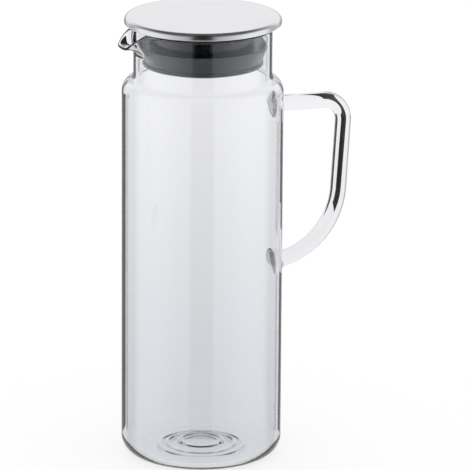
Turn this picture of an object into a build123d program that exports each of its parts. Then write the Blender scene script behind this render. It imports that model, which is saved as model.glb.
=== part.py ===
import os
from math import acos, asin, degrees, sqrt

from build123d import *

# Tall glass jug with a pouring lip and a fused glass handle, and a lift-out lid.
# Millimetres. The origin is the centre of the base's underside, +Z is up,
# the handle is on +X and the pouring lip is on -X.

# Glass jug
body_diameter = 90.0
neck_diameter = 77.2
wall = 2.0
rim_height = 247.0
neck_height = 37.0
heel_radius = 9.5
shoulder_radius = 8.0
neck_foot_radius = 2.5
rim_rounding = 0.9

# Base of the jug, pushed up in the middle
foot_inner_radius = 27.0
punt_rise = 3.5
floor_thickness = 3.0
ring_radii = (11.5, 18.7, 23.2)
ring_ridge = 0.6

# Pouring lip
lip_overhang = 10.7
lip_root_inset = 4.0
lip_root_half_width = 13.5
lip_root_depth = 16.5
lip_middle_overhang = 5.9
lip_middle_half_width = 9.0
lip_middle_depth = 6.5
lip_middle_drop = 3.0
lip_tip_half_width = 5.0
lip_tip_depth = 2.4
lip_tip_drop = 6.9
lip_wall = 1.6
lip_edge = 0.01
lip_channel_overrun = 1.0

# Handle, a solid glass rod fused to the body at both ends
rod_diameter = 9.2
upper_weld_drop = 11.7
weld_spacing = 91.9
upper_corner_drop = 1.1
lower_corner_rise = 8.2
grip_reach = 86.1
grip_foot_reach = 81.0
upper_bend_radius = 12.0
lower_bend_radius = 42.0
weld_diameter = 13.0
weld_length = 5.0

# Lid cover, a pressed steel shell with its edge turned under
cover_diameter = 87.5
cover_gap = 2.0
cover_thickness = 4.0
cover_crown = 0.4
cover_sheet = 0.6
cover_edge_radius = 2.8
cover_hem_radius = 0.5
cover_hem_width = 2.4
edge_share = 0.8

# Plastic disc that fills the cover and carries the stopper
disc_clearance = 0.1
spigot_height = 4.0
spigot_wall = 2.0
spigot_clearance = 0.05

# Stopper, a closed cup
stopper_gap = 7.8
stopper_wall = 2.0
stopper_depth = 22.5
groove_depth = 1.2
groove_height = 2.6
stopper_foot = 1.2

# Packing ring, a flared soft seal seated in the stopper's groove
packing_clearance = 0.3
seat_clearance = 0.05
packing_height = 11.6
packing_lip_wall = 1.4
packing_flare = 3.4
packing_bead_inset = 2.6
packing_bead_height = 2.5
bead_foot_rounding = 1.2
bead_top_rounding = 0.45
packing_lip_rounding = 0.5
packing_inner_rounding = 0.8

body_radius = body_diameter / 2
neck_radius = neck_diameter / 2
neck_bore = neck_radius - wall
shoulder_height = rim_height - neck_height
lip_reach = neck_radius + lip_overhang
lip_middle_reach = neck_radius + lip_middle_overhang
rod_radius = rod_diameter / 2
upper_weld_height = shoulder_height - upper_weld_drop
lower_weld_height = upper_weld_height - weld_spacing
cover_radius = cover_diameter / 2
cover_bottom = rim_height + cover_gap
cover_top = cover_bottom + cover_thickness
stopper_radius = neck_bore - stopper_gap
stopper_bottom = rim_height - stopper_depth
groove_bottom = stopper_bottom + stopper_foot
packing_radius = neck_bore - packing_clearance
packing_waist_radius = packing_radius - packing_flare
packing_bead_radius = packing_radius - packing_bead_inset


def ring_of(outline):
    # a closed half section, turned about the upright axis
    return revolve(Plane.XZ * outline, Axis.Z)


def cap_arc(height, reach, rise):
    # the round cap of the given rise over a circle of the given radius
    radius = (reach**2 + rise**2) / (2 * rise)
    return JernArc((0, height + rise), (1, 0), radius, -degrees(asin(reach / radius)))


def jug_form(inset, floor, top):
    # the jug's solid form, moved in from its outer skin by inset
    body = body_radius - inset
    neck = neck_radius - inset
    heel = heel_radius - inset
    shoulder = shoulder_radius - inset
    foot = neck_foot_radius + inset
    turn = degrees(acos(1 - (body - neck) / (shoulder + foot)))
    dome = cap_arc(floor, foot_inner_radius, punt_rise)
    base = Line(dome @ 1, (body - heel, floor))
    heel_arc = JernArc(base @ 1, (1, 0), heel, 90)
    side = Line(heel_arc @ 1, (body, shoulder_height))
    shoulder_arc = JernArc(side @ 1, (0, 1), shoulder, turn)
    foot_arc = JernArc(shoulder_arc @ 1, shoulder_arc % 1, foot, -turn)
    neck_line = Line(foot_arc @ 1, (neck, top))
    lid_line = Line(neck_line @ 1, (0, top))
    axis_line = Line(lid_line @ 1, dome @ 0)
    edges = (dome, base, heel_arc, side, shoulder_arc, foot_arc, neck_line, lid_line, axis_line)
    return ring_of(make_face(Curve() + list(edges)))


def dome_height(radius):
    # height of the floor's skin inside the jug
    curve = (foot_inner_radius**2 + punt_rise**2) / (2 * punt_rise)
    return floor_thickness + punt_rise - curve + sqrt(curve**2 - radius**2)


def lip_section(reach, half_width, top, depth, head):
    # a trough's cross section, half an ellipse below the rim and straight above it
    bowl = EllipticalCenterArc((0, 0), half_width, depth, start_angle=180, arc_size=180)
    right = Line(bowl @ 1, (half_width, head))
    across = Line(right @ 1, (-half_width, head))
    left = Line(across @ 1, bowl @ 0)
    face = make_face(Curve() + [bowl, right, across, left])
    place = Plane(origin=(-reach, 0, top), x_dir=(0, 1, 0), z_dir=(1, 0, 0))
    return place * face


def lip_form(inset, head, overrun):
    root = neck_bore - lip_root_inset
    sections = (
        (root, lip_root_half_width, rim_height, lip_root_depth),
        (lip_middle_reach, lip_middle_half_width, rim_height - lip_middle_drop, lip_middle_depth),
        (lip_reach + overrun, lip_tip_half_width, rim_height - lip_tip_drop, lip_tip_depth),
    )
    faces = [
        lip_section(reach, half_width - inset, top, depth - inset, head)
        for reach, half_width, top, depth in sections
    ]
    return loft(faces)


def make_jug():
    cavity = jug_form(wall, floor_thickness, rim_height + wall)
    shell = jug_form(0, 0, rim_height) - cavity
    rim_edges = shell.edges().filter_by(GeomType.CIRCLE).group_by(Axis.Z)[-1]
    shell = fillet(rim_edges, rim_rounding)
    for radius in ring_radii:
        shell += Pos(0, 0, dome_height(radius)) * Torus(radius, ring_ridge)
    lip = lip_form(0, lip_edge, 0) - cavity
    channel = lip_form(lip_wall, rim_height, lip_channel_overrun)
    return shell + lip - channel


def weld(height):
    # the rod's end, spread where it is fused to the body
    spread = (weld_diameter - rod_diameter) / 2
    start = body_radius - wall
    edge = body_radius + weld_length
    flare = EllipticalCenterArc(
        (edge, rod_radius + spread), weld_length, spread, start_angle=180, arc_size=90
    )
    face = make_face(
        Curve()
        + [
            flare,
            Line(flare @ 1, (edge, 0)),
            Line((edge, 0), (start, 0)),
            Line((start, 0), (start, rod_radius + spread)),
            Line((start, rod_radius + spread), flare @ 0),
        ]
    )
    return Pos(0, 0, height) * revolve(face, Axis.X)


def make_handle():
    start = body_radius - wall / 2
    path = FilletPolyline(
        (start, 0, upper_weld_height),
        (grip_reach, 0, upper_weld_height - upper_corner_drop),
        (grip_foot_reach, 0, lower_weld_height + lower_corner_rise),
        (start, 0, lower_weld_height),
        radius=[upper_bend_radius, lower_bend_radius],
    )
    end = Plane(origin=path @ 0, z_dir=path % 0)
    rod = sweep(end * Circle(rod_radius), path)
    rod += weld(upper_weld_height) + weld(lower_weld_height)
    body = Pos(0, 0, rim_height / 2) * Cylinder(body_radius, rim_height)
    return rod - body


def disc_outline(radius, bottom, top, crown, upper, lower):
    # half section of a crowned disc with rounded edges
    cap = cap_arc(top, radius, crown)
    side = Line(cap @ 1, (radius, bottom))
    under = Line(side @ 1, (0, bottom))
    face = make_face(Curve() + [cap, side, under, Line((0, bottom), cap @ 0)])
    corners = face.vertices().sort_by(Axis.X)[-2:].sort_by(Axis.Y)
    face = fillet(corners[1], min(upper, edge_share * (top - bottom)))
    corner = face.vertices().sort_by_distance((radius, bottom))[0]
    return fillet(corner, lower) if lower else face


def make_cover():
    skin = ring_of(
        disc_outline(
            cover_radius, cover_bottom, cover_top, cover_crown, cover_edge_radius, cover_hem_radius
        )
    )
    hollow = ring_of(
        disc_outline(
            cover_radius - cover_sheet,
            cover_bottom + cover_sheet,
            cover_top - cover_sheet,
            cover_crown,
            cover_edge_radius - cover_sheet,
            0,
        )
    )
    mouth_radius = cover_radius - cover_hem_width
    mouth = Pos(0, 0, cover_bottom) * Cylinder(mouth_radius, 2 * cover_sheet + cover_crown)
    return skin - hollow - mouth


def make_disc():
    disc = ring_of(
        disc_outline(
            cover_radius - cover_sheet - disc_clearance,
            cover_bottom + cover_sheet,
            cover_top - cover_sheet - disc_clearance,
            cover_crown,
            cover_edge_radius - cover_sheet,
            0,
        )
    )
    radius = stopper_radius - stopper_wall - spigot_clearance
    middle = cover_bottom + cover_sheet - spigot_height / 2
    spigot = Cylinder(radius, spigot_height) - Cylinder(radius - spigot_wall, spigot_height)
    return disc + Pos(0, 0, middle) * spigot


def make_stopper():
    top = cover_bottom + cover_sheet
    height = top - stopper_bottom
    cup = Pos(0, 0, stopper_bottom + height / 2) * Cylinder(stopper_radius, height)
    inside = height - 2 * stopper_wall
    cup -= Pos(0, 0, top - inside / 2) * Cylinder(stopper_radius - stopper_wall, inside)
    middle = groove_bottom + groove_height / 2
    band = Cylinder(stopper_radius + groove_depth, groove_height)
    groove = band - Cylinder(stopper_radius - groove_depth, groove_height)
    return cup - Pos(0, 0, middle) * groove


def make_packing():
    seat = stopper_radius - groove_depth + seat_clearance
    low = groove_bottom + seat_clearance
    floor = groove_bottom + groove_height - seat_clearance
    bead_top = low + packing_bead_height
    lip_top = low + packing_height
    waist_inside = packing_waist_radius - packing_lip_wall
    lip_inside = packing_radius - packing_lip_wall
    outline = Polyline(
        (seat, low),
        (packing_bead_radius, low),
        (packing_bead_radius, bead_top),
        (packing_waist_radius, bead_top),
        (packing_radius, lip_top),
        (lip_inside, lip_top),
        (waist_inside, floor),
        (seat, floor),
        close=True,
    )
    face = make_face(outline)
    rounded = (
        ((packing_bead_radius, low), bead_foot_rounding),
        ((packing_bead_radius, bead_top), bead_top_rounding),
        ((packing_radius, lip_top), packing_lip_rounding),
        ((lip_inside, lip_top), packing_lip_rounding),
        ((waist_inside, floor), packing_inner_rounding),
    )
    for corner, radius in rounded:
        face = fillet(face.vertices().sort_by_distance(corner)[0], radius)
    return ring_of(face)


parts = {
    "glass_body": make_jug(),
    "glass_handle": make_handle(),
    "lid_cover": make_cover(),
    "lid_disc": make_disc(),
    "stopper": make_stopper(),
    "packing_ring": make_packing(),
}

os.makedirs("parts", exist_ok=True)
for name, shape in parts.items():
    export_step(shape, f"parts/{name}.step")
    print(name, len(shape.solids()), "solid", round(shape.volume), "mm3")
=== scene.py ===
from math import acos, atan2, cos, degrees, exp, pi, radians, sin, sqrt, tan

import bpy
from mathutils import Matrix, Vector


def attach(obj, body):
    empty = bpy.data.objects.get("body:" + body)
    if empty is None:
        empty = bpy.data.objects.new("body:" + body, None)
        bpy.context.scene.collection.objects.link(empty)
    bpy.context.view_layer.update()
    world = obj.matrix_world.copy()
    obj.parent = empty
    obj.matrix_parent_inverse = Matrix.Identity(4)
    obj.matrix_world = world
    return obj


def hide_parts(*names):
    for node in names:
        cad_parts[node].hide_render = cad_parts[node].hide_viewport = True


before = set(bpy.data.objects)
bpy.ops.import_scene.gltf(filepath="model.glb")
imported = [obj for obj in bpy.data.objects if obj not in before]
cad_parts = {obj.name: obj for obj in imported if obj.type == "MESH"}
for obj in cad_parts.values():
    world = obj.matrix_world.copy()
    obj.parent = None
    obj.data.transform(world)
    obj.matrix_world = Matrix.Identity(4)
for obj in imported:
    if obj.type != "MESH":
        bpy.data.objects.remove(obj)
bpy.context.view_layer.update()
mm = 0.001
print("frame loaded")


# nodes: a socket that can be added, multiplied and so on
class Wire:
    def __init__(self, tree, socket):
        self.tree = tree
        self.socket = socket

    def maths(self, operation, first, second):
        return addNode(self.tree, "ShaderNodeMath", {"operation": operation}, {0: first, 1: second})

    def __add__(self, other):
        return self.maths("ADD", self, other)

    def __radd__(self, other):
        return self.maths("ADD", other, self)

    def __sub__(self, other):
        return self.maths("SUBTRACT", self, other)

    def __rsub__(self, other):
        return self.maths("SUBTRACT", other, self)

    def __mul__(self, other):
        return self.maths("MULTIPLY", self, other)

    def __rmul__(self, other):
        return self.maths("MULTIPLY", other, self)


def addNode(tree, kind, settings=None, inputs=None, output=0):
    node = tree.nodes.new(kind)
    for name, value in (settings or {}).items():
        setattr(node, name, value)
    for name, value in (inputs or {}).items():
        if isinstance(value, Wire):
            tree.links.new(value.socket, node.inputs[name])
        else:
            node.inputs[name].default_value = value
    return None if output is None else Wire(tree, node.outputs[output])


def newMaterial(name):
    material = bpy.data.materials.new(name)
    material.use_nodes = True
    material.node_tree.nodes.clear()
    return material, material.node_tree


def finishMaterial(tree, surface, volume=None):
    inputs = {"Surface": surface}
    if volume:
        inputs["Volume"] = volume
    addNode(tree, "ShaderNodeOutputMaterial", inputs=inputs, output=None)


def objectPlace(tree):
    return addNode(tree, "ShaderNodeTexCoord", output="Object")


# glass: clear, with painted shade that greys it towards the foot, and a little greyer where a ray runs
# long in the wall
glassLook = {
    # painted shade: the greyer colour at the foot, fading to the clear colour at the top over the given
    # height in metres
    "shadedFootTint": (0.855, 0.86, 0.885, 1),
    "highTint": (0.99, 0.99, 1.0, 1),
    "height": 0.2,
    "index": 1.47,
    "bodyDensity": 24.0,
    "handleDensity": 10.0,
    "depthColour": (0.30, 0.36, 0.44, 1),
    "wavesPerMetre": 22.0,
    "waveHeight": 0.00006,
    "waveStrength": 0.35,
}


def makeGlass(name, density):
    s = glassLook
    material, tree = newMaterial(name)
    place = objectPlace(tree)
    waves = addNode(
        tree, "ShaderNodeTexNoise", inputs={"Vector": place, "Scale": s["wavesPerMetre"], "Detail": 1.0}
    )
    bump = addNode(
        tree,
        "ShaderNodeBump",
        inputs={"Height": waves, "Distance": s["waveHeight"], "Strength": s["waveStrength"]},
    )
    # painted shade: the Base Color runs from the grey foot colour up to the clear top colour with height
    upward = addNode(tree, "ShaderNodeSeparateXYZ", inputs={0: place}, output=2) * (1 / s["height"])
    paintedShade = addNode(
        tree,
        "ShaderNodeMix",
        {"data_type": "RGBA"},
        {"Factor": upward, "A": s["shadedFootTint"], "B": s["highTint"]},
        "Result",
    )
    surface = addNode(
        tree,
        "ShaderNodeBsdfPrincipled",
        inputs={
            "Base Color": paintedShade,
            "Roughness": 0.0,
            "IOR": s["index"],
            "Transmission Weight": 1.0,
            "Normal": bump,
        },
    )
    volume = addNode(
        tree, "ShaderNodeVolumeAbsorption", inputs={"Color": s["depthColour"], "Density": density}
    )
    finishMaterial(tree, surface, volume)
    return material


# steel: satin, with faint rings left by the polishing wheel
steelLook = {
    "colour": (0.86, 0.855, 0.885, 1),
    "darkColour": (0.78, 0.78, 0.80, 1),
    "roughness": 0.16,
    "ringRoughness": 0.08,
    "ringsPerMetre": 2600.0,
    "ringHeight": 0.000004,
    "ringStrength": 0.5,
    "blotchesPerMetre": 60.0,
}


def makeSteel():
    s = steelLook
    material, tree = newMaterial("satinSteel")
    place = objectPlace(tree)
    flat = addNode(tree, "ShaderNodeVectorMath", {"operation": "MULTIPLY"}, {0: place, 1: (1, 1, 0)})
    radius = addNode(tree, "ShaderNodeVectorMath", {"operation": "LENGTH"}, {0: flat}, "Value")
    along = addNode(tree, "ShaderNodeCombineXYZ", inputs={0: radius * s["ringsPerMetre"]})
    rings = addNode(tree, "ShaderNodeTexNoise", inputs={"Vector": along, "Scale": 1.0, "Detail": 3.0})
    blotches = addNode(
        tree, "ShaderNodeTexNoise", inputs={"Vector": place, "Scale": s["blotchesPerMetre"], "Detail": 4.0}
    )
    colour = addNode(
        tree,
        "ShaderNodeMix",
        {"data_type": "RGBA"},
        {"Factor": blotches, "A": s["darkColour"], "B": s["colour"]},
        "Result",
    )
    bump = addNode(
        tree,
        "ShaderNodeBump",
        inputs={"Height": rings, "Distance": s["ringHeight"], "Strength": s["ringStrength"]},
    )
    surface = addNode(
        tree,
        "ShaderNodeBsdfPrincipled",
        inputs={
            "Base Color": colour,
            "Metallic": 1.0,
            "Roughness": s["roughness"] + rings * s["ringRoughness"],
            "Normal": bump,
        },
    )
    finishMaterial(tree, surface)
    return material


# moulded plastic and rubber: a base colour with faint clouding and a fine moulded grain
mouldedLook = {
    "cloudsPerMetre": 35.0,
    "cloudRoughness": 0.06,
    "grainsPerMetre": 1400.0,
    "grainStrength": 0.4,
    "coatRoughness": 0.05,
    "sheen": (0.88, 0.97, 1.0, 1),
}
smokeLook = {
    "dark": (0.010, 0.018, 0.021, 1),
    "light": (0.016, 0.027, 0.031, 1),
    "roughness": 0.08,
    "coat": 0.6,
    "grain": 0.000002,
    "through": 0.0,
}
discLook = {
    "dark": (0.035, 0.036, 0.04, 1),
    "light": (0.05, 0.051, 0.055, 1),
    "roughness": 0.38,
    "coat": 0.0,
    "grain": 0.000012,
    "through": 0.0,
}
siliconeLook = {
    "dark": (0.35, 0.40, 0.42, 1),
    "light": (0.44, 0.49, 0.51, 1),
    "roughness": 0.2,
    "coat": 0.3,
    "grain": 0.000004,
    "through": 0.7,
}


def makeMoulded(name, look):
    s = mouldedLook
    material, tree = newMaterial(name)
    place = objectPlace(tree)
    clouds = addNode(
        tree, "ShaderNodeTexNoise", inputs={"Vector": place, "Scale": s["cloudsPerMetre"], "Detail": 3.0}
    )
    fine = addNode(
        tree, "ShaderNodeTexNoise", inputs={"Vector": place, "Scale": s["grainsPerMetre"], "Detail": 2.0}
    )
    colour = addNode(
        tree,
        "ShaderNodeMix",
        {"data_type": "RGBA"},
        {"Factor": clouds, "A": look["dark"], "B": look["light"]},
        "Result",
    )
    bump = addNode(
        tree,
        "ShaderNodeBump",
        inputs={"Height": fine, "Distance": look["grain"], "Strength": s["grainStrength"]},
    )
    surface = addNode(
        tree,
        "ShaderNodeBsdfPrincipled",
        inputs={
            "Base Color": colour,
            "Roughness": look["roughness"] + clouds * s["cloudRoughness"],
            "Coat Weight": look["coat"],
            "Coat Roughness": s["coatRoughness"],
            "Specular Tint": s["sheen"],
            "Transmission Weight": look["through"],
            "Normal": bump,
        },
    )
    finishMaterial(tree, surface)
    return material


# the welds: glass that was pressed hot against the body, a little rough and cloudy
weldLook = {
    "colour": (0.93, 0.935, 0.95, 1),
    "roughness": 0.12,
    "grainRoughness": 0.2,
    "through": 0.8,
    "grainsPerMetre": 700.0,
    "grain": 0.0006,
}


def makeWeldGlass():
    s = weldLook
    material, tree = newMaterial("weldGlass")
    place = objectPlace(tree)
    grains = addNode(
        tree, "ShaderNodeTexNoise", inputs={"Vector": place, "Scale": s["grainsPerMetre"], "Detail": 2.0}
    )
    bump = addNode(tree, "ShaderNodeBump", inputs={"Height": grains, "Distance": s["grain"]})
    surface = addNode(
        tree,
        "ShaderNodeBsdfPrincipled",
        inputs={
            "Base Color": s["colour"],
            "Roughness": s["roughness"] + grains * s["grainRoughness"],
            "IOR": glassLook["index"],
            "Transmission Weight": s["through"],
            "Normal": bump,
        },
    )
    finishMaterial(tree, surface)
    return material


weldGlass = makeWeldGlass()
bodyGlass = makeGlass("bodyGlass", glassLook["bodyDensity"])
handleGlass = makeGlass("handleGlass", glassLook["handleDensity"])
satinSteel = makeSteel()
smokePlastic = makeMoulded("smokePlastic", smokeLook)
discPlastic = makeMoulded("discPlastic", discLook)
greySilicone = makeMoulded("greySilicone", siliconeLook)
print("materials made")


# shapes: outlines are (radius, height) pairs in millimetres
def arc(middle, radius, start, end, steps):
    turns = [radians(start + (end - start) * step / steps) for step in range(steps + 1)]
    return [(middle[0] + radius * cos(turn), middle[1] + radius * sin(turn)) for turn in turns]


def run(start, end, steps):
    return [
        (start[0] + (end[0] - start[0]) * step / steps, start[1] + (end[1] - start[1]) * step / steps)
        for step in range(1, steps)
    ]


def startPiece():
    if bpy.context.object and bpy.context.object.mode != "OBJECT":
        bpy.ops.object.mode_set(mode="OBJECT")
    bpy.ops.object.select_all(action="DESELECT")


def turnedPiece(name, outline, sides):
    # one point is pulled along the outline, and the line is then spun about the upright axis
    startPiece()
    bpy.ops.mesh.primitive_plane_add(size=mm, location=(0, 0, 0))
    piece = bpy.context.object
    piece.name = name
    bpy.ops.object.mode_set(mode="EDIT")
    bpy.ops.mesh.select_mode(type="VERT")
    bpy.ops.mesh.select_all(action="SELECT")
    bpy.ops.mesh.merge(type="CENTER")
    bpy.ops.transform.translate(value=(outline[0][0] * mm, 0, outline[0][1] * mm))
    for here, there in zip(outline, outline[1:]):
        step = ((there[0] - here[0]) * mm, 0, (there[1] - here[1]) * mm)
        bpy.ops.mesh.extrude_region_move(TRANSFORM_OT_translate={"value": step})
    bpy.ops.mesh.select_all(action="SELECT")
    bpy.ops.mesh.spin(steps=sides, angle=2 * pi, center=(0, 0, 0), axis=(0, 0, 1))
    bpy.ops.mesh.select_all(action="SELECT")
    bpy.ops.mesh.remove_doubles(threshold=0.000002)
    bpy.ops.mesh.normals_make_consistent(inside=False)
    bpy.ops.object.mode_set(mode="OBJECT")
    return piece


def dressPiece(piece, material, body, slot, *nodes, sharp=35):
    startPiece()
    piece.select_set(True)
    bpy.context.view_layer.objects.active = piece
    bpy.ops.object.shade_smooth_by_angle(angle=radians(sharp))
    piece.data.materials.clear()
    piece.data.materials.append(material)
    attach(piece, body)
    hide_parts(*nodes)
    print(piece.name, "made")


# the jug: body, heel, pushed-up base, shoulder, neck and rim in one section
jugShape = {
    "radius": 45.0,
    "neck": 38.6,
    "wall": 2.0,
    "shoulderHeight": 210.0,
    "rim": 247.0,
    "heel": 9.5,
    "shoulder": 8.0,
    "neckFoot": 2.5,
    "puntRadius": 27.0,
    "puntRise": 3.5,
    "floor": 3.0,
    "rings": (11.5, 18.7, 23.2),
    "ringHeight": 0.5,
    "ringWidth": 1.3,
    "baseSteps": 18,
    "ringSteps": 56,
    "heelSteps": 14,
    "wallSteps": 8,
    "shoulderSteps": 12,
    "footSteps": 10,
    "neckSteps": 22,
    "rimSteps": 10,
    "sides": 224,
}


def skinOutline(inset, top):
    # from the foot of the heel up to the neck, moved in from the outer skin by inset
    s = jugShape
    body, neck = s["radius"] - inset, s["neck"] - inset
    heel, shoulder, foot = s["heel"] - inset, s["shoulder"] - inset, s["neckFoot"] + inset
    low = s["floor"] if inset else 0.0
    turn = degrees(acos(1 - (body - neck) / (shoulder + foot)))
    neckFoot = s["shoulderHeight"] + (shoulder + foot) * sin(radians(turn))
    points = arc((body - heel, low + heel), heel, -90, 0, s["heelSteps"])
    points += run((body, low + heel), (body, s["shoulderHeight"]), s["wallSteps"])
    points += arc((body - shoulder, s["shoulderHeight"]), shoulder, 0, turn, s["shoulderSteps"])
    points += arc((neck + foot, neckFoot), foot, 180 + turn, 180, s["footSteps"])[1:]
    points += run((neck, neckFoot), (neck, top), s["neckSteps"])
    return points


def baseOutline(height, ringed):
    # from the middle out to the heel: a smooth dome, with moulded rings on the inside
    s = jugShape
    edge = s["radius"] - s["heel"]
    count = s["ringSteps"] if ringed else s["baseSteps"]
    points = []
    for step in range(count):
        r = edge * step / count
        dome = max(0.0, 1 - (r / s["puntRadius"]) ** 2) ** 2
        z = height + s["puntRise"] * dome
        if ringed:
            z += sum(s["ringHeight"] * exp(-(((r - ring) / s["ringWidth"]) ** 2)) for ring in s["rings"])
        points.append((r, z))
    return points


# the pouring lip: the rim is folded out and a little down over a short arc of the neck
lipShape = {
    "start": 233.0,
    "reach": 10.7,
    "drop": 7.08,
    "dropPower": 2.2,
    "halfTurn": 34.6,
    "plateau": 0.442,
    "rootPower": 8,
    "flankPower": 6,
    "thin": 0.25,
    "turnStep": 0.0005,
    "upStep": 0.01,
}


def lipShare(turn):
    # 1 in the middle of the lip, falling to 0 at its roots
    s = lipShape
    u = abs(turn) / radians(s["halfTurn"])
    if u >= 1:
        return 0.0
    return (1 - u ** s["rootPower"]) / (1 + (u / s["plateau"]) ** s["flankPower"])


def lipPoint(turn, up):
    # the middle of the wall, up runs from 0 at the fold's foot to 1 at the rim
    s = lipShape
    share = lipShare(turn)
    radius = (jugShape["neck"] - jugShape["wall"] / 2) * mm
    rim = jugShape["rim"] - jugShape["wall"] / 2 - s["start"] - s["drop"] * share ** s["dropPower"]
    lift = up + share * (sin(pi / 2 * min(up, 1.0)) - min(up, 1.0))
    out = s["reach"] * mm * share * (1 - cos(pi / 2 * min(up, 1.0)))
    x = -radius * cos(turn) - out
    y = radius * sin(turn)
    return Vector((x, y, (s["start"] + rim * lift) * mm))


def foldLip(piece):
    s = lipShape
    middle = (jugShape["neck"] - jugShape["wall"] / 2) * mm
    rim = (jugShape["rim"] - jugShape["wall"] / 2) * mm
    for vertex in piece.data.vertices:
        x, y, z = vertex.co
        if z <= s["start"] * mm or x >= 0:
            continue
        turn = atan2(y, -x)
        share = lipShare(turn)
        if share <= 0:
            continue
        up = min(1.0, (z - s["start"] * mm) / (rim - s["start"] * mm))
        place = lipPoint(turn, up)
        across = lipPoint(turn + s["turnStep"], up) - lipPoint(turn - s["turnStep"], up)
        along = lipPoint(turn, up) - lipPoint(turn, up - s["upStep"])
        normal = along.cross(across).normalized()
        if normal.x > 0 and up < 0.5:  # below the fold, outwards is away from the jug's axis
            normal.negate()
        offset = (sqrt(x * x + y * y) - middle) * (1 - s["thin"] * share)
        beyond = max(0.0, z - rim) * (1 - s["thin"] * share)
        vertex.co = place + normal * offset + along.normalized() * beyond


def makeJug():
    s = jugShape
    rimMiddle = (s["neck"] - s["wall"] / 2, s["rim"] - s["wall"] / 2)
    outer = baseOutline(0.0, False) + skinOutline(0.0, rimMiddle[1])
    rim = arc(rimMiddle, s["wall"] / 2, 0, 180, s["rimSteps"])
    inner = skinOutline(s["wall"], rimMiddle[1])[::-1] + baseOutline(s["floor"], True)[::-1]
    piece = turnedPiece("jugGlass", outer + rim + inner, s["sides"])
    foldLip(piece)
    dressPiece(piece, bodyGlass, "jug", "clear_glass", "glass_body", sharp=60)


# the handle: a solid rod, spread at both ends where it is fused to the body
handleShape = {
    "rod": 4.6,
    "weldGap": 0.03,
    "upperWeld": 198.3,
    "upperCorner": (86.1, 197.2),
    "lowerCorner": (81.0, 114.6),
    "lowerWeld": 106.4,
    "upperBend": 12.0,
    "lowerBend": 42.0,
    "weldSpread": 3.1,
    "weldLength": 3.2,
    "endBand": 0.9,
    "faceBand": 0.4,
    "pathStep": 1.1,
    "sides": 56,
}


def bentPath(corners, bends, step):
    # straight runs joined by tangent arcs, as evenly spaced points
    points = [Vector(corners[0])]
    for before, corner, after, bend in zip(corners, corners[1:], corners[2:], bends):
        corner = Vector(corner)
        back = (Vector(before) - corner).normalized()
        ahead = (Vector(after) - corner).normalized()
        half = back.angle(ahead) / 2
        middle = corner + (back + ahead).normalized() * bend / sin(half)
        start = corner + back * bend / tan(half) - middle
        end = corner + ahead * bend / tan(half) - middle
        sweep = start.angle(end)
        count = max(8, round(sweep * bend / step))
        last = points[-1]
        entry = middle + start
        gap = max(1, round((entry - last).length / step))
        points += [last.lerp(entry, k / gap) for k in range(1, gap)]
        for k in range(count + 1):
            part = (start * sin(sweep * (1 - k / count)) + end * sin(sweep * k / count)) / sin(sweep)
            points.append(middle + part)
    last, end = points[-1], Vector(corners[-1])
    gap = max(1, round((end - last).length / step))
    points += [last.lerp(end, k / gap) for k in range(1, gap + 1)]
    return points


def makeHandle():
    s = handleShape
    start = jugShape["radius"] + s["weldGap"]
    corners = [(start, s["upperWeld"]), s["upperCorner"], s["lowerCorner"], (start, s["lowerWeld"])]
    path = bentPath(corners, [s["upperBend"], s["lowerBend"]], s["pathStep"])
    startPiece()
    bpy.ops.curve.primitive_bezier_curve_add(location=(0, 0, 0))
    rod = bpy.context.object
    rod.name = "handleRod"
    rod.data.splines.clear()
    spline = rod.data.splines.new("POLY")
    spline.points.add(len(path) - 1)
    for point, place in zip(spline.points, path):
        point.co = (place.x * mm, 0, place.y * mm, 1)
        near = max(0.0, 1 - (place.x - start) / s["weldLength"])
        point.radius = s["rod"] + s["weldSpread"] * near ** 2
    rod.data.bevel_depth = mm
    rod.data.bevel_resolution = s["sides"] // 4 - 1
    rod.data.use_fill_caps = True
    bpy.ops.object.convert(target="MESH")
    rod = bpy.context.object
    for vertex in rod.data.vertices:  # the ends follow the body's round side
        if vertex.co.x < (start + s["endBand"]) * mm:
            skin = sqrt((start * mm) ** 2 - vertex.co.y**2)
            vertex.co.x += skin - start * mm
    bpy.ops.object.mode_set(mode="EDIT")
    bpy.ops.mesh.select_all(action="SELECT")
    bpy.ops.mesh.remove_doubles(threshold=0.000002)
    bpy.ops.mesh.normals_make_consistent(inside=False)
    bpy.ops.object.mode_set(mode="OBJECT")
    dressPiece(rod, handleGlass, "jug", "clear_glass", "glass_handle", sharp=60)
    rod.data.materials.append(weldGlass)
    for face in rod.data.polygons:
        if face.center.x < (start + s["faceBand"]) * mm:
            face.material_index = 1


# the lid's cover: a pressed shell, its edge rounded over and its sheet turned under
coverShape = {
    "radius": 43.75,
    "gap": 2.0,
    "thickness": 4.0,
    "crown": 0.4,
    "sheet": 0.6,
    "edge": 2.8,
    "hem": 0.5,
    "hemWidth": 2.4,
    "cornerCut": 0.3,
    "sides": 224,
}
coverBottom = jugShape["rim"] + coverShape["gap"]


def crownHeight(radius, top):
    s = coverShape
    return top + s["crown"] * (1 - (radius / s["radius"]) ** 2)


def makeCover():
    s = coverShape
    top = coverBottom + s["thickness"]
    shoulder = s["radius"] - s["edge"]
    outer = [(shoulder * k / 14, crownHeight(shoulder * k / 14, top)) for k in range(14)]
    outer += arc((shoulder, top - s["edge"]), s["edge"], 90, 0, 14)
    outer += arc((s["radius"] - s["hem"], coverBottom + s["hem"]), s["hem"], 0, -90, 6)
    lip = s["radius"] - s["hemWidth"]
    sheet = s["sheet"]
    wall = s["radius"] - sheet
    turnIn = [(lip, coverBottom), (lip, coverBottom + sheet)]
    inner = [(wall - s["cornerCut"], coverBottom + sheet), (wall, coverBottom + sheet + s["cornerCut"])]
    inner += arc((shoulder, top - s["edge"]), s["edge"] - sheet, 0, 90, 10)
    inner += [(shoulder * k / 10, crownHeight(shoulder * k / 10, top) - sheet) for k in range(9, -1, -1)]
    piece = turnedPiece("lidCover", outer + turnIn + inner, s["sides"])
    dressPiece(piece, satinSteel, "lid", "satin_steel", "lid_cover", sharp=40)


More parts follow.
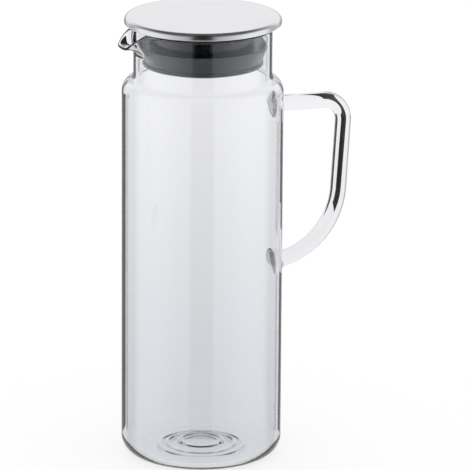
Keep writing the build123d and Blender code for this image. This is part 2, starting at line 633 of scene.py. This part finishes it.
# the stopper: a closed cup with a groove for the packing near its foot
stopperShape = {
    "radius": 28.8,
    "wall": 2.0,
    "depth": 24.5,
    "foot": 1.2,
    "groove": 1.2,
    "grooveHeight": 2.6,
    "round": 0.35,
    "sides": 160,
}
stopperBottom = coverBottom - stopperShape["depth"]


def makeStopper():
    s = stopperShape
    top = coverBottom + coverShape["sheet"]
    radius, bend = s["radius"], s["round"]
    low = stopperBottom + s["foot"]
    high = low + s["grooveHeight"]
    inside, floor = radius - s["wall"], stopperBottom + 2 * s["wall"]
    outline = [(0, stopperBottom)]
    outline += run((0, stopperBottom), (radius - bend, stopperBottom), 8)
    outline += arc((radius - bend, stopperBottom + bend), bend, -90, 0, 4)
    outline += [(radius, low), (radius - s["groove"], low), (radius - s["groove"], high)]
    outline += arc((radius - bend, high + bend), bend, -90, 0, 4)
    outline += run((radius, high + bend), (radius, top), 8)
    outline += [(radius, top), (inside, top), (inside, floor), (0, floor)]
    piece = turnedPiece("stopperCup", outline, s["sides"])
    dressPiece(piece, smokePlastic, "lid", "smoke_plastic", "stopper", sharp=30)


# the packing: a soft ring, flared up to the neck, with a bead round its foot
packingShape = {
    "clearance": 0.05,
    "neckClearance": 0.3,
    "thickness": 2.5,
    "beadHeight": 2.5,
    "beadInset": 2.6,
    "flare": 3.4,
    "height": 11.6,
    "lipWall": 1.4,
    "seatRound": 0.2,
    "beadRound": 1.2,
    "beadTopRound": 0.45,
    "waistRound": 0.3,
    "lipRound": 0.5,
    "insideRound": 0.8,
    "sides": 176,
}


def roundedLoop(corners):
    # a closed outline with each corner rounded by its own radius
    points = []
    count, steps = len(corners), 6
    for index, (x, z, bend) in enumerate(corners):
        corner = Vector((x, z))
        back = (Vector(corners[index - 1][:2]) - corner).normalized()
        ahead = (Vector(corners[(index + 1) % count][:2]) - corner).normalized()
        half = back.angle(ahead) / 2
        middle = corner + (back + ahead).normalized() * bend / sin(half)
        start = corner + back * bend / tan(half) - middle
        end = corner + ahead * bend / tan(half) - middle
        sweep = start.angle(end)
        for k in range(steps + 1):
            part = (start * sin(sweep * (1 - k / steps)) + end * sin(sweep * k / steps)) / sin(sweep)
            points.append(tuple(middle + part))
    return points + [points[0]]


def makePacking():
    s = packingShape
    seat = stopperShape["radius"] - stopperShape["groove"] + s["clearance"]
    low = stopperBottom + stopperShape["foot"] + s["clearance"]
    floor, beadTop, top = low + s["thickness"], low + s["beadHeight"], low + s["height"]
    lip = jugShape["neck"] - jugShape["wall"] - s["neckClearance"]
    bead, waist = lip - s["beadInset"], lip - s["flare"]
    corners = [
        (seat, low, s["seatRound"]),
        (bead, low, s["beadRound"]),
        (bead, beadTop, s["beadTopRound"]),
        (waist, beadTop, s["waistRound"]),
        (lip, top, s["lipRound"]),
        (lip - s["lipWall"], top, s["lipRound"]),
        (waist - s["lipWall"], floor, s["insideRound"]),
        (seat, floor, s["seatRound"]),
    ]
    piece = turnedPiece("packingRing", roundedLoop(corners), s["sides"])
    dressPiece(piece, greySilicone, "lid", "grey_silicone", "packing_ring", sharp=50)


makeJug()
makeHandle()
makeCover()
makeStopper()
makePacking()

# the disc keeps its solid from the frame and takes a moulded finish
disc = bpy.data.objects["lid_disc"]
for slot in disc.material_slots:
    slot.material = discPlastic


# the view: a long lens, looking down at the jug from the side of its lip
viewShape = {
    "turn": 22.5,
    "rise": 16.4,
    "distance": 2.9,
    "aimHeight": 0.125,
    "aimPixel": (201.95, 237.3),
    "focalPixels": 5175.0,
    "framePixels": 470.0,
    "roll": -0.39,
    "sensor": 36.0,
}


def makeCamera():
    s = viewShape
    turn, rise = radians(s["turn"]), radians(s["rise"])
    away = Vector((sin(turn) * cos(rise), cos(turn) * cos(rise), -sin(rise)))
    right = Vector((cos(turn), -sin(turn), 0))
    up = right.cross(away)
    centre = s["framePixels"] / 2
    aside = (centre - s["aimPixel"][0]) / s["focalPixels"] * s["distance"]
    above = (s["aimPixel"][1] - centre) / s["focalPixels"] * s["distance"]
    aim = Vector((0, 0, s["aimHeight"])) + right * aside + up * above
    bpy.ops.object.camera_add(location=aim - away * s["distance"])
    camera = bpy.context.object
    camera.name = "photoCamera"
    roll = Matrix.Rotation(radians(s["roll"]), 3, away)
    columns = (roll @ right, roll @ up, -away)
    camera.rotation_euler = Matrix(columns).transposed().to_euler()
    camera.data.sensor_width = s["sensor"]
    camera.data.lens = s["sensor"] * s["focalPixels"] / s["framePixels"]
    bpy.context.scene.camera = camera


# the studio: a pale floor, a white tent that is open at the camera and dark overhead, and
# black cards behind the jug's sides that draw its glass edges. Half, From, To and Soft are
# degrees, with 0 at the camera and 180 behind the jug, apart from overheadFrom and overheadTo,
# which are heights like Low and High: 0 is level and 1 is straight up. Cards are in millimetres
studio = {
    "floorSize": 12.0,
    "floorGrey": 0.25,
    "floorLift": 0.77,
    "tent": 0.97,
    "besideGap": 0.5,
    "sideFrom": 15.0,
    "sideTo": 80.0,
    "overhead": 0.1,
    "overheadFrom": 0.35,
    "overheadTo": 0.85,
    "gapHalf": 17.0,
    "gapSoft": 1.5,
    "gapGrey": 0.02,
    "gapLow": -0.36,
    "gapHigh": -0.24,
    "fadeWide": 0.05,
    "fadeNarrow": 0.02,
    "flankFrom": 112.0,
    "flankTo": 138.0,
    "flankSoft": 8.0,
    "flankGrey": 0.5,
    "flankLow": -0.38,
    "flankFade": 0.04,
    "backFrom": 138.0,
    "backTo": 150.0,
    "backHigh": 0.16,
    "backGrey": 0.4,
    "cardGrey": 0.02,
    "edgeWalls": 2,
    "edgeReach": 41,
    "edgeCards": (
        (68, 86, 80, 120, 180),
        (103, 138, 80, 95, 190),
        (50, 67, 40, -4, 92),
        (50, 61, 40, 118, 181),
        (42, 62, 40, 200, 240),
        (-80, -51, 40, -4, 196),
        (-62, -42, 40, 196, 240),
    ),
    "lineWalls": 20,
    "lineReach": 34,
    "lineCards": (
        (-57, -50.5, 40, -4, 196),
        (-50, -43.5, 40, 196, 240),
        (43.5, 50, 40, 200, 240),
        (50.5, 57, 40, -4, 92),
        (50.5, 57, 40, 118, 181),
    ),
}


def makeCards(name, cardList, walls, reach):
    # each card is (left, right, depth, bottom, top) as seen from the camera; a ray meets it only
    # if it crossed no more glass surfaces than walls and came at least as far as reach
    turn = radians(viewShape["turn"])
    startPiece()
    boards = []
    for left, right, depth, low, high in cardList:
        bpy.ops.mesh.primitive_plane_add(size=mm, rotation=(pi / 2, 0, 0))
        board = bpy.context.object
        board.scale = (right - left, high - low, 1)
        board.location = ((left + right) / 2 * mm, depth * mm, (low + high) / 2 * mm)
        boards.append(board)
    for board in boards:
        board.select_set(True)
    bpy.ops.object.join()
    cards = bpy.context.object
    cards.name = name
    bpy.ops.object.transform_apply(location=True, rotation=True, scale=True)
    cards.rotation_euler = (0, 0, -turn)
    bpy.ops.object.transform_apply(location=True, rotation=True, scale=True)
    material, tree = newMaterial(name + "Black")
    grey = studio["cardGrey"]
    glow = addNode(tree, "ShaderNodeEmission", inputs={"Color": (grey, grey, grey, 1), "Strength": 1.0})
    clear = addNode(tree, "ShaderNodeBsdfTransparent")
    crossed = addNode(tree, "ShaderNodeLightPath", output="Transmission Depth")
    length = addNode(tree, "ShaderNodeLightPath", output="Ray Length")
    often = addNode(tree, "ShaderNodeMath", {"operation": "GREATER_THAN"}, {0: crossed, 1: walls + 0.5})
    near = addNode(tree, "ShaderNodeMath", {"operation": "LESS_THAN"}, {0: length, 1: reach * mm})
    past = addNode(tree, "ShaderNodeMath", {"operation": "MAXIMUM"}, {0: often, 1: near})
    finishMaterial(tree, addNode(tree, "ShaderNodeMixShader", inputs={0: past, 1: glow, 2: clear}))
    cards.data.materials.append(material)
    cards.visible_camera = False
    cards.visible_diffuse = False
    cards.visible_glossy = False
    cards.visible_shadow = False


def makeFloor():
    startPiece()
    bpy.ops.mesh.primitive_plane_add(size=studio["floorSize"], location=(0, 0, 0))
    floor = bpy.context.object
    floor.name = "studioFloor"
    material, tree = newMaterial("paleFloor")
    grey = studio["floorGrey"]
    lit = addNode(tree, "ShaderNodeBsdfDiffuse", inputs={"Color": (grey, grey, grey, 1)})
    rays = addNode(tree, "ShaderNodeLightPath", output="Is Camera Ray")
    lift = addNode(
        tree,
        "ShaderNodeEmission",
        inputs={"Color": (1, 1, 1, 1), "Strength": rays * studio["floorLift"]},
    )
    finishMaterial(tree, addNode(tree, "ShaderNodeAddShader", inputs={0: lit, 1: lift}))
    floor.data.materials.append(material)
    floor.visible_glossy = False
    floor.visible_transmission = False


def makeWorld():
    s = studio
    world = bpy.data.worlds.new("studioWorld")
    bpy.context.scene.world = world
    world.use_nodes = True
    tree = world.node_tree
    tree.nodes.clear()
    way = addNode(tree, "ShaderNodeTexCoord", output="Generated")
    x, y, z = [addNode(tree, "ShaderNodeSeparateXYZ", inputs={0: way}, output=k) for k in range(3)]
    turn = radians(viewShape["turn"])
    side = x * cos(turn) - y * sin(turn)
    front = x * -sin(turn) - y * cos(turn)
    bearing = addNode(tree, "ShaderNodeMath", {"operation": "ARCTAN2"}, {0: side, 1: front})
    swing = addNode(tree, "ShaderNodeMath", {"operation": "ABSOLUTE"}, {0: bearing})

    def ramp(low, high, value):
        return addNode(
            tree,
            "ShaderNodeMapRange",
            {"interpolation_type": "SMOOTHSTEP"},
            {"Value": value, "From Min": low, "From Max": high},
        )

    glossy = addNode(tree, "ShaderNodeLightPath", output="Is Glossy Ray")
    through = addNode(tree, "ShaderNodeLightPath", output="Is Transmission Ray")
    mirrored = glossy * (1 - through)
    wide, narrow = s["fadeWide"], s["fadeNarrow"]

    # the tent: dimmer beside its opening, and dark overhead for what mirrors it
    aside = ramp(radians(s["sideFrom"]), radians(s["sideTo"]), swing)
    low = s["tent"] * (s["besideGap"] + aside * (1 - s["besideGap"]))
    high = ramp(s["overheadFrom"], s["overheadTo"], z) * mirrored
    tent = low - high * (low - s["overhead"])

    # the opening at the camera, which the glass itself shows only low down
    soft, half = radians(s["gapSoft"]), radians(s["gapHalf"])
    gap = (1 - ramp(half - soft, half + soft, swing)) * ramp(s["gapLow"] - wide, s["gapLow"] + narrow, z)
    gap = gap * (1 - (1 - mirrored) * ramp(s["gapHigh"], s["gapHigh"] + wide, z))

    # grey flanks behind the jug, and a dark band low at the back for what mirrors it
    soft = radians(s["flankSoft"])
    near, far, fade = radians(s["flankFrom"]), radians(s["flankTo"]), s["flankFade"]
    flank = ramp(near - soft, near + soft, swing) * (1 - ramp(far - soft, far + soft, swing))
    flank = flank * ramp(s["flankLow"] - fade, s["flankLow"] + fade, z)
    back = ramp(radians(s["backFrom"]), radians(s["backTo"]), swing) * (1 - ramp(0.0, s["backHigh"], z))
    back = back * mirrored * ramp(s["gapLow"] - narrow, s["gapLow"] + wide, z)
    level = tent * (1 - gap * (1 - s["gapGrey"])) * (1 - flank * (1 - s["flankGrey"]))
    level = level * (1 - back * (1 - s["backGrey"]))

    # what the camera sees directly and what lights matt pieces stays plain white
    camera = addNode(tree, "ShaderNodeLightPath", output="Is Camera Ray")
    spread = addNode(tree, "ShaderNodeLightPath", output="Is Diffuse Ray")
    plain = addNode(tree, "ShaderNodeMath", {"operation": "MAXIMUM"}, {0: camera, 1: spread})
    strength = level + plain * (1 - level)
    background = addNode(
        tree, "ShaderNodeBackground", inputs={"Color": (1, 1, 1, 1), "Strength": strength}
    )
    addNode(tree, "ShaderNodeOutputWorld", inputs={"Surface": background}, output=None)


makeCamera()
makeFloor()
makeCards("edgeCards", studio["edgeCards"], studio["edgeWalls"], studio["edgeReach"])
makeCards("lineCards", studio["lineCards"], studio["lineWalls"], studio["lineReach"])
makeWorld()
bpy.context.scene.view_settings.view_transform = "Standard"
print("studio made")
